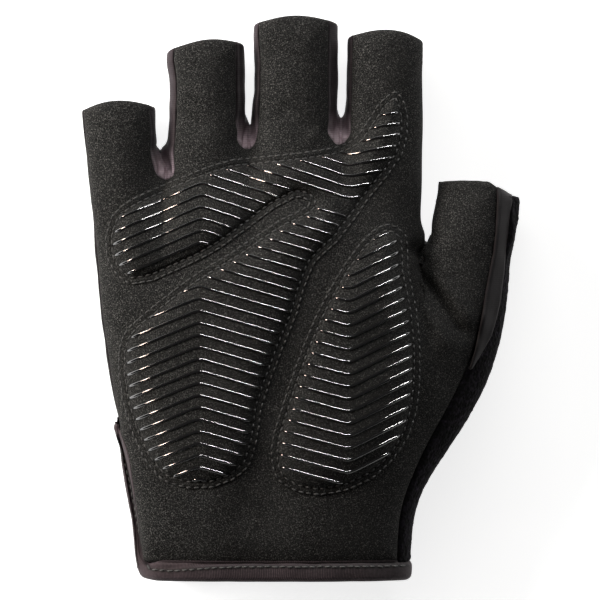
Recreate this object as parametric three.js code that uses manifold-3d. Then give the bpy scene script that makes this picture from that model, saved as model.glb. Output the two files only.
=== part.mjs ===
// Half-finger cycling glove for the right hand, lying on its back with the palm up.
// Millimetres, +Z up out of the palm, +Y to the fingertips, +X to the thumb side.
// The origin lies under the middle of the palm, on the flat of the back panel.
//
// The whole outside is one quilt of patches that share their seam points. Each patch becomes a wall by
// an offset inward along the quilt's own normals, so neighbouring walls meet on a mitre with a seam gap.

import * as THREE from 'three';
import Module from 'manifold-3d';
import { mergeVertices } from 'three/addons/utils/BufferGeometryUtils.js';

// Driving dimensions of the hand
const PALM_WIDTH = 96.6; // across the finger roots
const CUFF_WIDTH = 79.8; // across the hem
const PALM_LENGTH = 124.7; // from the hem edge to the line of the finger roots
const PALM_ABOVE_ORIGIN = 54; // from the origin up to that line
const PALM_DEPTH = 27;
const CUFF_DEPTH = 24;
const PALM_MID_HEIGHT = 12; // height of the widest line of the palm's section
const FINGER_DEPTH = 20; // at the roots
const TIP_DEPTH = 16.5; // at the open ends
const FINGER_MID_HEIGHT = 9;
const FINGER_LIFT = 0.8; // the finger backs stay this far above the surface

// Fingers: width at the root, and reach of the open end past the line of the roots
const LITTLE_WIDTH = 20.2;
const LITTLE_REACH = 11.3;
const RING_WIDTH = 22.3;
const RING_REACH = 28.9;
const MIDDLE_WIDTH = 24.9;
const MIDDLE_REACH = 35.4;
const INDEX_WIDTH = 21.8;
const INDEX_REACH = 31.3;
const THUMB_WIDTH = 24.2;
const THUMB_LENGTH = 13.8; // from its crotch to its open end
const END_BULGE = 1.7; // the middle of an open end stands this far past its corners

// Cloth, tape and pads
const WALL = 1.2;
const SEAM_GAP = 0.34;
const WEB_SLOPE = 7.8; // the web's back edge lies this far past its front edge
const NOTCH_DIP = 1.2;
const HEM_WIDTH = 5.2;
const HEM_THICKNESS = 2.2;
const SLIT_LENGTH = 44;
const SLIT_TAPE_WIDTH = 3;
const STRIP_HALF_HEIGHT = 3.2; // half the height of the strip on the little-finger side
const PAD_THICKNESS = 2.6;
const PAD_EDGE = 0.7;
const PAD_SHOULDER = 4; // the pad rises to its full thickness within about this distance
const PAD_CLEARANCE = 0.34;
const PAD_MARGIN = 1.1; // the pad clears all of the palm within this distance
const PAD_STEP = 3.7; // mesh size of a pad

// Superellipse power of every section
const POWER = 2.4;

// Mesh counts
const BODY_ROWS = 12;
const SLIT_ROWS = 4; // rows of the body beside the slit
const STRIP_TIP_ROW = 7; // the thumb strip ends at this row
const FINGER_ROWS = 4;
const FINGER_STEPS = 4; // across one finger
const GAP_STEPS = 2; // across one notch
const WEB_STEPS = 3; // across a fourchette
const BACK_STEPS = 5; // across the terry panel

const CUFF_Y = PALM_ABOVE_ORIGIN - PALM_LENGTH;

// Sides of the hand. at: share of PALM_LENGTH from the hem. left, right: widest line on each side.
// seam: edge of the palm panel on the thumb side. under: edge of the back panel there.
// All four are shares of half the width at that height.
const OUTLINE = [
  { at: 0, left: -0.88, seam: 0.99, right: 1.07, under: 0.9 },
  { at: 0.05, left: -0.895, seam: 0.988, right: 1.08, under: 0.9 },
  { at: 0.17, left: -0.926, seam: 0.99, right: 1.083, under: 0.91 },
  { at: 0.26, left: -0.961, seam: 1.075, right: 1.2, under: 0.965 },
  { at: 0.33, left: -0.972, seam: 1.155, right: 1.332, under: 1.035 },
  { at: 0.433, left: -0.98, seam: 1.297, right: 1.48, under: 1.12 },
  { at: 0.535, left: -1.01, seam: 1.398, right: 1.56, under: 1.15 },
  { at: 0.663, left: -1.027, seam: 1.43, right: 1.588, under: 1.13 },
  { at: 0.795, left: -1.033, seam: 1.457, right: 1.584, under: 1.065 },
  { at: 0.895, left: -1.034, seam: 1.46, right: 1.584, under: 1.06 },
  { at: 1, left: -1.054, seam: 1.46, right: 1.584, under: 1.06 },
];

// Notches between the fingers. at: share of PALM_LENGTH from the hem to the bottom of the notch.
const NOTCHES = [
  { at: 0.932 }, // little and ring
  { at: 1.002 }, // ring and middle
  { at: 1.015 }, // middle and index
  { at: 0.795 }, // index and thumb
];

// Fingers. root: centre at the root as a share of half PALM_WIDTH. lean: sideways run for each unit of length.
// taper: width at the open end as a share of the root's. tilt: slope of the open end.
// left, right: edges of the front as shares of the half width. backLeft, backRight: of the back panel.
const FINGERS = [
  { name: 'little', width: LITTLE_WIDTH, end: PALM_LENGTH + LITTLE_REACH, root: -0.823, lean: -0.075,
    taper: 1.04, tilt: 0.06, left: -0.98, right: 0.9, backLeft: -0.98, backRight: 0.86 },
  { name: 'ring', width: RING_WIDTH, end: PALM_LENGTH + RING_REACH, root: -0.331, lean: 0.015,
    taper: 0.94, tilt: 0.09, left: -0.83, right: 0.85, backLeft: -0.86, backRight: 0.86 },
  { name: 'middle', width: MIDDLE_WIDTH, end: PALM_LENGTH + MIDDLE_REACH, root: 0.212, lean: 0.012,
    taper: 0.98, tilt: 0, left: -0.88, right: 0.78, backLeft: -0.86, backRight: 0.86 },
  { name: 'index', width: INDEX_WIDTH, end: PALM_LENGTH + INDEX_REACH, root: 0.735, lean: 0.02,
    taper: 0.98, tilt: -0.03, left: -0.89, right: 1, backLeft: -0.86, backRight: 1 },
  { name: 'thumb', width: THUMB_WIDTH, end: NOTCHES[3].at * PALM_LENGTH + THUMB_LENGTH, root: 1.27, lean: 0.19,
    taper: 0.95, tilt: -0.2, left: -1, right: 0.62, backLeft: -1, backRight: 1 },
];
const THUMB_STRIP_SHARE = 0.9; // right edge of the thumb strip, as a share of the thumb's half width

// Folds where the thumb leaves the palm. x: share of half PALM_WIDTH. at: share of PALM_LENGTH.
// angle in degrees from +X. long, wide, deep: shares of PALM_DEPTH.
const FOLDS = [
  { x: 1.03, at: 0.72, angle: 78, long: 0.55, wide: 0.13, deep: 0.07 },
  { x: 1.1, at: 0.64, angle: 60, long: 0.5, wide: 0.12, deep: 0.06 },
  { x: 0.06, at: 0.2, angle: 80, long: 0.9, wide: 0.3, deep: 0.05 },
];

// Pad outlines, clockwise from the little-finger side.
// x: share of half PALM_WIDTH. at: share of PALM_LENGTH from the hem.
const PALM_PAD = [
  { x: -0.77, at: 0.686 }, { x: -0.91, at: 0.749 }, { x: -0.88, at: 0.844 }, { x: -0.68, at: 0.898 },
  { x: -0.41, at: 0.941 }, { x: -0.16, at: 0.974 }, { x: 0.13, at: 0.984 }, { x: 0.43, at: 1.001 },
  { x: 0.58, at: 1.026 }, { x: 0.71, at: 1.103 }, { x: 0.82, at: 1.133 }, { x: 0.88, at: 1.074 },
  { x: 0.85, at: 0.988 }, { x: 0.66, at: 0.891 }, { x: 0.46, at: 0.784 }, { x: 0.32, at: 0.733 },
  { x: 0.22, at: 0.619 }, { x: 0.11, at: 0.514 }, { x: 0.01, at: 0.4 }, { x: -0.06, at: 0.27 },
  { x: -0.28, at: 0.221 }, { x: -0.58, at: 0.237 }, { x: -0.76, at: 0.349 }, { x: -0.84, at: 0.488 },
  { x: -0.81, at: 0.57 }, { x: -0.69, at: 0.616 }, { x: -0.41, at: 0.7 }, { x: -0.16, at: 0.76 },
  { x: 0.12, at: 0.833 }, { x: 0.31, at: 0.872 }, { x: 0.22, at: 0.889 }, { x: -0.06, at: 0.819 },
  { x: -0.25, at: 0.766 }, { x: -0.47, at: 0.723 },
];
const THENAR_PAD = [
  { x: 0.07, at: 0.307 }, { x: 0.11, at: 0.237 }, { x: 0.35, at: 0.203 }, { x: 0.67, at: 0.242 },
  { x: 0.88, at: 0.335 }, { x: 0.95, at: 0.467 }, { x: 0.93, at: 0.63 }, { x: 0.88, at: 0.721 },
  { x: 0.87, at: 0.8 }, { x: 0.75, at: 0.826 }, { x: 0.59, at: 0.777 }, { x: 0.41, at: 0.67 },
  { x: 0.26, at: 0.544 }, { x: 0.12, at: 0.386 },
];

// ---- Small helpers

const lerp = (a, b, t) => a + (b - a) * t;
const clamp = (t, lo = 0, hi = 1) => Math.min(hi, Math.max(lo, t));
const smooth = (a, b, t) => THREE.MathUtils.smoothstep(t, a, b);

// Column of a table at a given place, by a smooth curve through its rows.
function sample(table, column, at) {
  let i = 0;
  while (i < table.length - 2 && at > table[i + 1].at) {
    i += 1;
  }
  const [a, b] = [table[i], table[i + 1]];
  const before = table[Math.max(0, i - 1)];
  const after = table[Math.min(table.length - 1, i + 2)];
  const span = b.at - a.at;
  const t = clamp((at - a.at) / span);
  const slopeA = ((b[column] - before[column]) / (b.at - before.at)) * span;
  const slopeB = ((after[column] - a[column]) / (after.at - a.at)) * span;
  const square = t * t;
  const cube = square * t;
  return a[column] * (2 * cube - 3 * square + 1) + slopeA * (cube - 2 * square + t)
    + b[column] * (3 * square - 2 * cube) + slopeB * (cube - square);
}

// Share of the section's height left at share u of its half width.
const arch = (u) => (1 - clamp(Math.abs(u)) ** POWER) ** (1 / POWER);
// Point of the unit section at an angle: 0 at the right, 90 degrees at the top.
const sectionX = (angle) => Math.sign(Math.cos(angle)) * Math.abs(Math.cos(angle)) ** (2 / POWER);
const sectionZ = (angle) => Math.sign(Math.sin(angle)) * Math.abs(Math.sin(angle)) ** (2 / POWER);
// Angle above the middle line at which the unit section reaches share u.
const angleAt = (u) => Math.acos(Math.sign(u) * Math.abs(u) ** (POWER / 2));

// ---- The hand's own section

const halfWidth = (at) => lerp(CUFF_WIDTH, PALM_WIDTH, at) / 2;
const side = (column, at) => sample(OUTLINE, column, at) * halfWidth(at);
const topHeight = (at) => lerp(CUFF_DEPTH, PALM_DEPTH, smooth(0, 0.45, at));

function foldDepth(x, at) {
  let depth = 0;
  for (const fold of FOLDS) {
    const dx = x - (fold.x * PALM_WIDTH) / 2;
    const dy = (at - fold.at) * PALM_LENGTH;
    const angle = THREE.MathUtils.degToRad(fold.angle);
    const along = (dx * Math.cos(angle) + dy * Math.sin(angle)) / (fold.long * PALM_DEPTH);
    const across = (dy * Math.cos(angle) - dx * Math.sin(angle)) / (fold.wide * PALM_DEPTH);
    depth += fold.deep * PALM_DEPTH * Math.exp(-along * along - across * across);
  }
  return depth;
}

function handShare(x, at) {
  const [left, right] = [side('left', at), side('right', at)];
  return (2 * x - left - right) / (right - left);
}

function palmHeight(x, at) {
  const rise = (topHeight(at) - PALM_MID_HEIGHT) * arch(handShare(x, at));
  return PALM_MID_HEIGHT + rise - foldDepth(x, at);
}

// The back is the same section turned down, flattened where it rests.
function backHeight(x, at) {
  return Math.max(0, PALM_MID_HEIGHT - PALM_MID_HEIGHT * 1.3 * arch(handShare(x, at)));
}

// ---- Fingers

// Section of a finger at run g from its root (0) to its open end (1), at an angle round it.
function fingerPoint(finger, angle, rootAt, g) {
  const half = (finger.width / 2) * lerp(1, finger.taper, g);
  const rootY = CUFF_Y + rootAt * PALM_LENGTH;
  const run = (finger.end - PALM_LENGTH * rootAt) * g;
  const local = half * sectionX(angle);
  const share = local / half;
  const end = CUFF_Y + finger.end + finger.tilt * local + END_BULGE * (1 - share * share);
  const top = lerp(FINGER_DEPTH, TIP_DEPTH, g);
  const up = sectionZ(angle);
  const reach = up > 0 ? top - FINGER_MID_HEIGHT : FINGER_MID_HEIGHT - FINGER_LIFT;
  const z = FINGER_MID_HEIGHT + reach * up;
  const x = (finger.root * PALM_WIDTH) / 2 + finger.lean * run + local;
  return new THREE.Vector3(x, lerp(rootY, end, g), z);
}

// The vertical lines of the grid: finger lines with their share across the finger, and notch lines.
function makeTracks(fingerCount) {
  const tracks = [];
  for (let k = 0; k < fingerCount; k += 1) {
    for (let i = 0; i <= FINGER_STEPS; i += 1) {
      tracks.push({ finger: k, t: i / FINGER_STEPS });
    }
    for (let i = 1; i < GAP_STEPS && k < fingerCount - 1; i += 1) {
      tracks.push({ notch: k, t: i / GAP_STEPS });
    }
  }
  return tracks;
}
const FRONT_TRACKS = makeTracks(FINGERS.length);

// Height of the notch on each side of a finger. The web slopes, so the back's notches lie further out.
function rootPlace(k, t, back) {
  const slope = back ? WEB_SLOPE / PALM_LENGTH : 0;
  const left = k === 0 ? NOTCHES[0].at : NOTCHES[k - 1].at + (k < 4 ? slope : 0);
  const right = k >= 3 ? NOTCHES[3].at : NOTCHES[k].at + slope;
  return k === 0 ? lerp(left, right, smooth(0, 1, t)) : lerp(left, right, t);
}

function fingerAngle(finger, t, back) {
  if (back) {
    return -lerp(angleAt(finger.backLeft), angleAt(finger.backRight), t);
  }
  return lerp(angleAt(finger.left), angleAt(finger.right), t);
}

// Point of a finger line at run g, front or back. The notch corners lean into the notch.
function trackFinger(track, g, back) {
  const finger = FINGERS[track.finger];
  const place = rootPlace(track.finger, track.t, back);
  const point = fingerPoint(finger, fingerAngle(finger, track.t, back), place, g);
  const inner = (track.t === 1 && track.finger < 3) || (track.t === 0 && track.finger > 0 && track.finger < 4);
  if (inner && g === 0) {
    const notch = track.t === 1 ? track.finger : track.finger - 1;
    const middle = notchMiddle(notch);
    point.x = lerp(point.x, middle, back ? 0.8 : 0.25);
    point.y += back ? 0 : 1;
  }
  return point;
}

// Middle of a notch: halfway between the sides of the two fingers.
function notchMiddle(notch) {
  const [a, b] = [FINGERS[notch], FINGERS[notch + 1]];
  const right = (a.root * PALM_WIDTH + a.width) / 2;
  const left = (b.root * PALM_WIDTH - b.width) / 2;
  return (left + right) / 2;
}

// Root point of any line: on a finger, or at the bottom of a notch.
function trackRoot(track, back) {
  if (track.finger !== undefined) {
    return trackFinger(track, 0, back);
  }
  const a = trackFinger({ finger: track.notch, t: 1 }, 0, back);
  const b = trackFinger({ finger: track.notch + 1, t: 0 }, 0, back);
  const point = a.clone().lerp(b, track.t);
  const deep = Math.sin(track.t * Math.PI);
  point.y -= deep * (back ? 0.6 : 1.2);
  point.z -= track.notch < 3 && !back ? deep * NOTCH_DIP : 0;
  return point;
}

// ---- Front and back grids of the body

// Rows of the body: the first ones lie beside the wrist slit.
function bodyRun(row) {
  const start = HEM_WIDTH / PALM_LENGTH;
  const slit = (SLIT_LENGTH / PALM_LENGTH - start) / (NOTCHES[0].at - start);
  if (row <= SLIT_ROWS) {
    return (slit * row) / SLIT_ROWS;
  }
  return lerp(slit, 1, (row - SLIT_ROWS) / (BODY_ROWS - SLIT_ROWS));
}

function seamInset(at) {
  const slit = SLIT_LENGTH / PALM_LENGTH;
  return lerp(2.1, 0.35, smooth(slit - 0.01, slit + 0.06, at));
}

function bodyPoint(track, index, count, row, back) {
  const root = trackRoot(track, back);
  if (row === BODY_ROWS) {
    return root;
  }
  const rootAt = (root.y - CUFF_Y) / PALM_LENGTH;
  const start = HEM_WIDTH / PALM_LENGTH;
  const run = bodyRun(row);
  const at = lerp(start, rootAt, run);
  const right = back ? 'under' : 'seam';
  const edges = (place) => [side('left', place) + seamInset(place), side(right, place)];
  const [rootLeft, rootRight] = edges(rootAt);
  const rootShare = index === count - 1 ? 1 : index === 0 ? 0 : (root.x - rootLeft) / (rootRight - rootLeft);
  const [left, far] = edges(at);
  const x = lerp(left, far, lerp(index / (count - 1), rootShare, run));
  const own = back ? backHeight(x, at) : palmHeight(x, at);
  const z = lerp(own, root.z, smooth(0.7, 1, run));
  return new THREE.Vector3(x, CUFF_Y + at * PALM_LENGTH, z);
}

// A grid holds, for each line, its points from the hem to the root and on to the open end.
function makeGrid(tracks, back) {
  return tracks.map((track, index) => {
    const line = [];
    for (let row = 0; row <= BODY_ROWS; row += 1) {
      line.push(bodyPoint(track, index, tracks.length, row, back));
    }
    for (let row = 1; row <= FINGER_ROWS && track.finger !== undefined; row += 1) {
      line.push(trackFinger(track, row / FINGER_ROWS, back));
    }
    return line;
  });
}

const front = makeGrid(FRONT_TRACKS, false);
const BACK_TRACKS = FRONT_TRACKS.filter((track) => (track.finger ?? track.notch) < 4)
  .concat([{ finger: 4, t: 0 }]);
const back = makeGrid(BACK_TRACKS, true);

// Little-finger side: front and back edges lie above and below the widest line, with the strip between.
for (let row = 0; row < front[0].length; row += 1) {
  const mid = row > BODY_ROWS ? FINGER_MID_HEIGHT : lerp(PALM_MID_HEIGHT, FINGER_MID_HEIGHT,
    smooth(0.7, 1, bodyRun(row)));
  front[0][row].z = mid + STRIP_HALF_HEIGHT;
  back[0][row].z = mid - STRIP_HALF_HEIGHT;
  back[0][row].y = front[0][row].y;
}

// Index side and thumb crotch: front and back share their edge.
const indexLine = BACK_TRACKS.findIndex((track) => track.finger === 3 && track.t === 1);
const LAST_FRONT = FRONT_TRACKS.length - 1;
const LAST_BACK = BACK_TRACKS.length - 1;
const crotchLine = FRONT_TRACKS.findIndex((track) => track.finger === 4 && track.t === 0);
for (let row = BODY_ROWS; row <= BODY_ROWS + FINGER_ROWS; row += 1) {
  back[indexLine][row].copy(front[indexLine][row]);
}
for (let line = indexLine; line <= LAST_BACK; line += 1) {
  back[line][BODY_ROWS].copy(front[line][BODY_ROWS]);
}

// ---- Patches: lists of quads of points

const patches = new Map();

function patchOf(name) {
  if (!patches.has(name)) {
    patches.set(name, []);
  }
  return patches.get(name);
}

// Quads between two rows of points of equal length, turned over for the back of the glove.
function addRows(name, rowA, rowB, turned = false) {
  for (let i = 0; i < rowA.length - 1; i += 1) {
    const quad = [rowA[i], rowA[i + 1], rowB[i + 1], rowB[i]];
    patchOf(name).push(turned ? quad.reverse() : quad);
  }
}

function addGrid(name, grid, tracks, turned) {
  for (let i = 0; i < grid.length - 1; i += 1) {
    const sameFinger = tracks[i].finger !== undefined && tracks[i].finger === tracks[i + 1].finger;
    const rows = sameFinger ? BODY_ROWS + FINGER_ROWS : BODY_ROWS;
    addRows(name, grid[i].slice(0, rows + 1), grid[i + 1].slice(0, rows + 1), !turned);
  }
}

addGrid('palm_panel', front, FRONT_TRACKS, false);
addGrid('back_panel', back, BACK_TRACKS, true);

// Strip on the little-finger side, from the slit to the little finger's end.
{
  const rows = [];
  for (let row = SLIT_ROWS; row < front[0].length; row += 1) {
    const middle = front[0][row].clone().lerp(back[0][row], 0.5);
    const bulge = row > BODY_ROWS ? 0.4 : 0.5;
    middle.x -= bulge;
    rows.push([front[0][row], middle, back[0][row]]);
  }
  for (let i = 0; i < rows.length - 1; i += 1) {
    addRows('side_strip', rows[i], rows[i + 1], true);
  }
}

// Fourchettes: from one finger's open end down to the web and up the next finger.
function webPoint(track, row, share, frontPoint, backPoint) {
  const straight = frontPoint.clone().lerp(backPoint, share);
  if (track.finger === undefined || row === BODY_ROWS) {
    return straight;
  }
  const finger = FINGERS[track.finger];
  const g = (row - BODY_ROWS) / FINGER_ROWS;
  const from = fingerAngle(finger, track.t, false);
  const to = fingerAngle(finger, track.t, true);
  const turn = track.t === 0 ? to + 2 * Math.PI : to;
  const angle = lerp(from, turn, share);
  const place = lerp(rootPlace(track.finger, track.t, false), rootPlace(track.finger, track.t, true), share);
  return fingerPoint(finger, angle, place, g);
}

FINGERS.slice(0, 3).forEach((finger, k) => {
  const next = FINGERS[k + 1];
  const name = `fourchette_${finger.name}_${next.name}`;
  const start = FRONT_TRACKS.findIndex((track) => track.finger === k && track.t === 1);
  const rows = [];
  const add = (line, row) => {
    const [a, b] = [front[line][row], back[line][row]];
    const points = [a];
    for (let i = 1; i <= WEB_STEPS; i += 1) {
      const share = i / (WEB_STEPS + 1);
      points.push(webPoint(FRONT_TRACKS[line], row, share, a, b));
    }
    rows.push([...points, b]);
  };
  for (let row = BODY_ROWS + FINGER_ROWS; row > BODY_ROWS; row -= 1) {
    add(start, row);
  }
  for (let line = start; line <= start + GAP_STEPS; line += 1) {
    add(line, BODY_ROWS);
  }
  for (let row = BODY_ROWS + 1; row <= BODY_ROWS + FINGER_ROWS; row += 1) {
    add(start + GAP_STEPS, row);
  }
  for (let i = 0; i < rows.length - 1; i += 1) {
    addRows(name, rows[i], rows[i + 1], true);
  }
});

// Thumb strip: between the thumb's front and the terry, tapering to a point on the side of the hand.
const thumb = FINGERS[4];
const stripRail = [];
for (let row = STRIP_TIP_ROW; row <= BODY_ROWS + FINGER_ROWS; row += 1) {
  const edge = front[LAST_FRONT][row];
  const g = Math.max(0, (row - BODY_ROWS) / FINGER_ROWS);
  const onThumb = fingerPoint(thumb, angleAt(THUMB_STRIP_SHARE), NOTCHES[3].at, g);
  if (row >= BODY_ROWS) {
    stripRail.push(onThumb);
  } else {
    const at = (edge.y - CUFF_Y) / PALM_LENGTH;
    const open = smooth(0, 1, (row - STRIP_TIP_ROW) / (BODY_ROWS - STRIP_TIP_ROW)) ** 0.6;
    const root = front[LAST_FRONT][BODY_ROWS];
    const x = edge.x + (onThumb.x - root.x) * open;
    const own = palmHeight(x, at);
    const z = row === STRIP_TIP_ROW ? edge.z : lerp(own, onThumb.z, smooth(0.7, 1, bodyRun(row)));
    stripRail.push(row === STRIP_TIP_ROW ? edge : new THREE.Vector3(x, edge.y, z));
  }
}
{
  const edges = front[LAST_FRONT].slice(STRIP_TIP_ROW);
  for (let i = 0; i < edges.length - 1; i += 1) {
    addRows('thumb_strip', [edges[i], stripRail[i]], [edges[i + 1], stripRail[i + 1]]);
  }
}

// Terry panel: the back of the thumb, and the thumb side of the hand down to the cuff.
const terry = [];
for (let row = 0; row <= BODY_ROWS + FINGER_ROWS; row += 1) {
  const first = row < STRIP_TIP_ROW ? front[LAST_FRONT][row] : stripRail[row - STRIP_TIP_ROW];
  const last = row <= BODY_ROWS ? back[LAST_BACK][row] : front[crotchLine][row];
  const points = [first];
  for (let i = 1; i < BACK_STEPS; i += 1) {
    const share = i / BACK_STEPS;
    const g = Math.max(0, (row - BODY_ROWS) / FINGER_ROWS);
    const turn = lerp(angleAt(THUMB_STRIP_SHARE), -Math.PI, share);
    const onThumb = fingerPoint(thumb, turn, NOTCHES[3].at, g);
    if (row >= BODY_ROWS) {
      points.push(onThumb);
      continue;
    }
    const at = (first.y - CUFF_Y) / PALM_LENGTH;
    const [left, right] = [side('left', at), side('right', at)];
    const from = angleAt(clamp(handShare(first.x, at), -1, 0.995));
    const to = -angleAt(clamp(handShare(last.x, at), -1, 0.995));
    const angle = lerp(from, to, share);
    const x = (left + right) / 2 + ((right - left) / 2) * sectionX(angle);
    const z = sectionZ(angle) > 0 ? palmHeight(x, at) : backHeight(x, at);
    const w = smooth(0.75, 1, bodyRun(row));
    const y = lerp(first.y, last.y, share);
    points.push(new THREE.Vector3(lerp(x, onThumb.x, w), y, lerp(z, onThumb.z, w)));
  }
  terry.push([...points, last]);
}
for (let row = 0; row < terry.length - 1; row += 1) {
  addRows('thumb_back', terry[row], terry[row + 1]);
}

// ---- Walls

const key = (point) => `${point.x.toFixed(4)},${point.y.toFixed(4)},${point.z.toFixed(4)}`;

// Normals of the whole quilt, so that neighbours share the mitre at their seam.
const normals = new Map();
for (const quads of patches.values()) {
  for (const quad of quads) {
    const normal = new THREE.Vector3().crossVectors(
      quad[2].clone().sub(quad[0]),
      quad[3].clone().sub(quad[1]),
    );
    for (const point of quad) {
      const id = key(point);
      normals.set(id, (normals.get(id) ?? new THREE.Vector3()).add(normal));
    }
  }
}
for (const normal of normals.values()) {
  normal.normalize();
}

// Closed wall from a list of quads: outer points, inner points and a rim along every open edge.
function wallGeometry(quads, thickness, lookup = normals) {
  const ids = new Map();
  const points = [];
  const faces = [];
  for (const quad of quads) {
    const face = [];
    for (const point of quad) {
      const id = key(point);
      if (!ids.has(id)) {
        ids.set(id, points.length);
        points.push(point.clone());
      }
      if (!face.includes(ids.get(id))) {
        face.push(ids.get(id));
      }
    }
    if (face.length > 2) {
      faces.push(face);
    }
  }
  const outerNormals = [...ids.keys()].map((id) => lookup.get(id));
  // Open edges belong to one face only.
  const edges = new Map();
  for (const face of faces) {
    face.forEach((a, i) => {
      const b = face[(i + 1) % face.length];
      edges.set(`${a}>${b}`, { a, b, face });
    });
  }
  const open = [...edges.values()].filter(({ a, b }) => !edges.has(`${b}>${a}`));
  // Each seam edge steps back into its own patch by half the seam gap.
  const inset = points.map(() => new THREE.Vector3());
  for (const { a, b } of open) {
    const along = points[b].clone().sub(points[a]).normalize();
    for (const i of [a, b]) {
      inset[i].add(new THREE.Vector3().crossVectors(outerNormals[i], along));
    }
  }
  points.forEach((point, i) => {
    if (inset[i].lengthSq() > 0) {
      point.addScaledVector(inset[i].normalize(), SEAM_GAP / 2);
    }
  });
  const positions = [];
  const push = (point) => positions.push(point.x, point.y, point.z);
  points.forEach(push);
  points.forEach((point, i) => push(point.clone().addScaledVector(outerNormals[i], -thickness)));
  const n = points.length;
  const index = [];
  for (const face of faces) {
    for (let i = 1; i < face.length - 1; i += 1) {
      index.push(face[0], face[i], face[i + 1]);
      index.push(face[0] + n, face[i + 1] + n, face[i] + n);
    }
  }
  // Both walls of a seam split their rim quads along the same diagonal.
  const names = [...ids.keys()];
  for (const { a, b } of open) {
    if (names[a] < names[b]) {
      index.push(b, a, a + n, b, a + n, b + n);
    } else {
      index.push(b, a, b + n, a, a + n, b + n);
    }
  }
  const geometry = new THREE.BufferGeometry();
  geometry.setAttribute('position', new THREE.Float32BufferAttribute(positions, 3));
  geometry.setIndex(index);
  return geometry;
}

// ---- Hem binding: one tape down the slit's front edge, round the cuff and up its back edge

function bindingQuads() {
  const stations = [];
  const lift = (HEM_THICKNESS - WALL) / 2;
  const add = (point, out, width, shift = new THREE.Vector3()) => {
    const normal = normals.get(key(point)).clone();
    const along = out.clone().addScaledVector(normal, -out.dot(normal)).normalize();
    const base = point.clone().add(shift).addScaledVector(normal, lift);
    stations.push([0.02, 0.5, 1].map((share) => {
      const crown = share === 0.5 ? 0.3 : 0;
      const outer = base.clone().addScaledVector(along, SEAM_GAP / 2 + width * share);
      outer.addScaledVector(normal, crown);
      outer.z = Math.max(0, outer.z);
      return outer;
    }));
  };
  const down = new THREE.Vector3(0, -1, 0);
  const topEnd = new THREE.Vector3(0, -2 * SEAM_GAP, 0);
  for (let row = SLIT_ROWS; row > 0; row -= 1) {
    const shift = row === SLIT_ROWS ? topEnd : topEnd.clone().setLength(0);
    add(front[0][row], new THREE.Vector3(-1, 0, -0.4), SLIT_TAPE_WIDTH, shift);
  }
  add(front[0][0], new THREE.Vector3(-0.6, -1, -0.3), HEM_WIDTH);
  for (let line = 1; line <= LAST_FRONT; line += 1) {
    add(front[line][0], down, HEM_WIDTH);
  }
  for (let i = 1; i < BACK_STEPS; i += 1) {
    add(terry[0][i], down, HEM_WIDTH);
  }
  for (let line = LAST_BACK; line > 0; line -= 1) {
    add(back[line][0], down, HEM_WIDTH);
  }
  add(back[0][0], new THREE.Vector3(-0.6, -1, 0.3), HEM_WIDTH);
  for (let row = 1; row <= SLIT_ROWS; row += 1) {
    const shift = row === SLIT_ROWS ? topEnd : topEnd.clone().setLength(0);
    add(back[0][row], new THREE.Vector3(-1, 0, 0.4), SLIT_TAPE_WIDTH, shift);
  }
  const quads = [];
  for (let i = 0; i < stations.length - 1; i += 1) {
    for (let j = 0; j < 2; j += 1) {
      quads.push([stations[i][j], stations[i][j + 1], stations[i + 1][j + 1], stations[i + 1][j]]);
    }
  }
  return quads;
}

function ownNormals(quads) {
  const own = new Map();
  for (const quad of quads) {
    const normal = new THREE.Vector3().crossVectors(
      quad[2].clone().sub(quad[0]),
      quad[3].clone().sub(quad[1]),
    );
    for (const point of quad) {
      const id = key(point);
      own.set(id, (own.get(id) ?? new THREE.Vector3()).add(normal));
    }
  }
  own.forEach((normal) => normal.normalize());
  return own;
}

// ---- Pads: a crowned sheet on the palm, cut to its outline

const wasm = await Module();
wasm.setup();

function toSolid(geometry) {
  const bare = geometry.clone();
  bare.deleteAttribute('normal');
  bare.deleteAttribute('uv');
  const merged = mergeVertices(bare, 1e-4);
  return new wasm.Manifold(new wasm.Mesh({
    numProp: 3,
    vertProperties: Float32Array.from(merged.attributes.position.array),
    triVerts: Uint32Array.from(merged.index.array),
  }));
}

function toGeometry(solid) {
  const mesh = solid.getMesh();
  const geometry = new THREE.BufferGeometry();
  geometry.setAttribute('position', new THREE.BufferAttribute(Float32Array.from(mesh.vertProperties), 3));
  geometry.setIndex(new THREE.BufferAttribute(Uint32Array.from(mesh.triVerts), 1));
  return geometry;
}

// Height of the finished palm panel under a point.
function surfaceFinder(geometry) {
  const mesh = new THREE.Mesh(geometry, new THREE.MeshBasicMaterial({ side: THREE.DoubleSide }));
  const ray = new THREE.Raycaster();
  const downward = new THREE.Vector3(0, 0, -1);
  return (x, y) => {
    ray.set(new THREE.Vector3(x, y, 2 * PALM_DEPTH), downward);
    const hit = ray.intersectObject(mesh)[0];
    return hit ? hit.point.z : PALM_MID_HEIGHT;
  };
}

// Highest point of the palm close round a point, so that a pad's facets clear it between their corners.
function coverHeight(heightUnder, x, y) {
  const around = [[0, 0], [1, 0], [-1, 0], [0, 1], [0, -1]];
  return Math.max(...around.map(([dx, dy]) => heightUnder(x + dx * PAD_MARGIN, y + dy * PAD_MARGIN)));
}

function distanceTo(loop, x, y) {
  const here = new THREE.Vector2(x, y);
  let inside = false;
  let nearest = Infinity;
  loop.forEach((a, i) => {
    const b = loop[(i + 1) % loop.length];
    const edge = b.clone().sub(a);
    const t = clamp(here.clone().sub(a).dot(edge) / edge.lengthSq());
    nearest = Math.min(nearest, here.distanceTo(a.clone().addScaledVector(edge, t)));
    if ((a.y > y) !== (b.y > y) && x < a.x + ((y - a.y) / (b.y - a.y)) * (b.x - a.x)) {
      inside = !inside;
    }
  });
  return inside ? nearest : 0;
}

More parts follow.
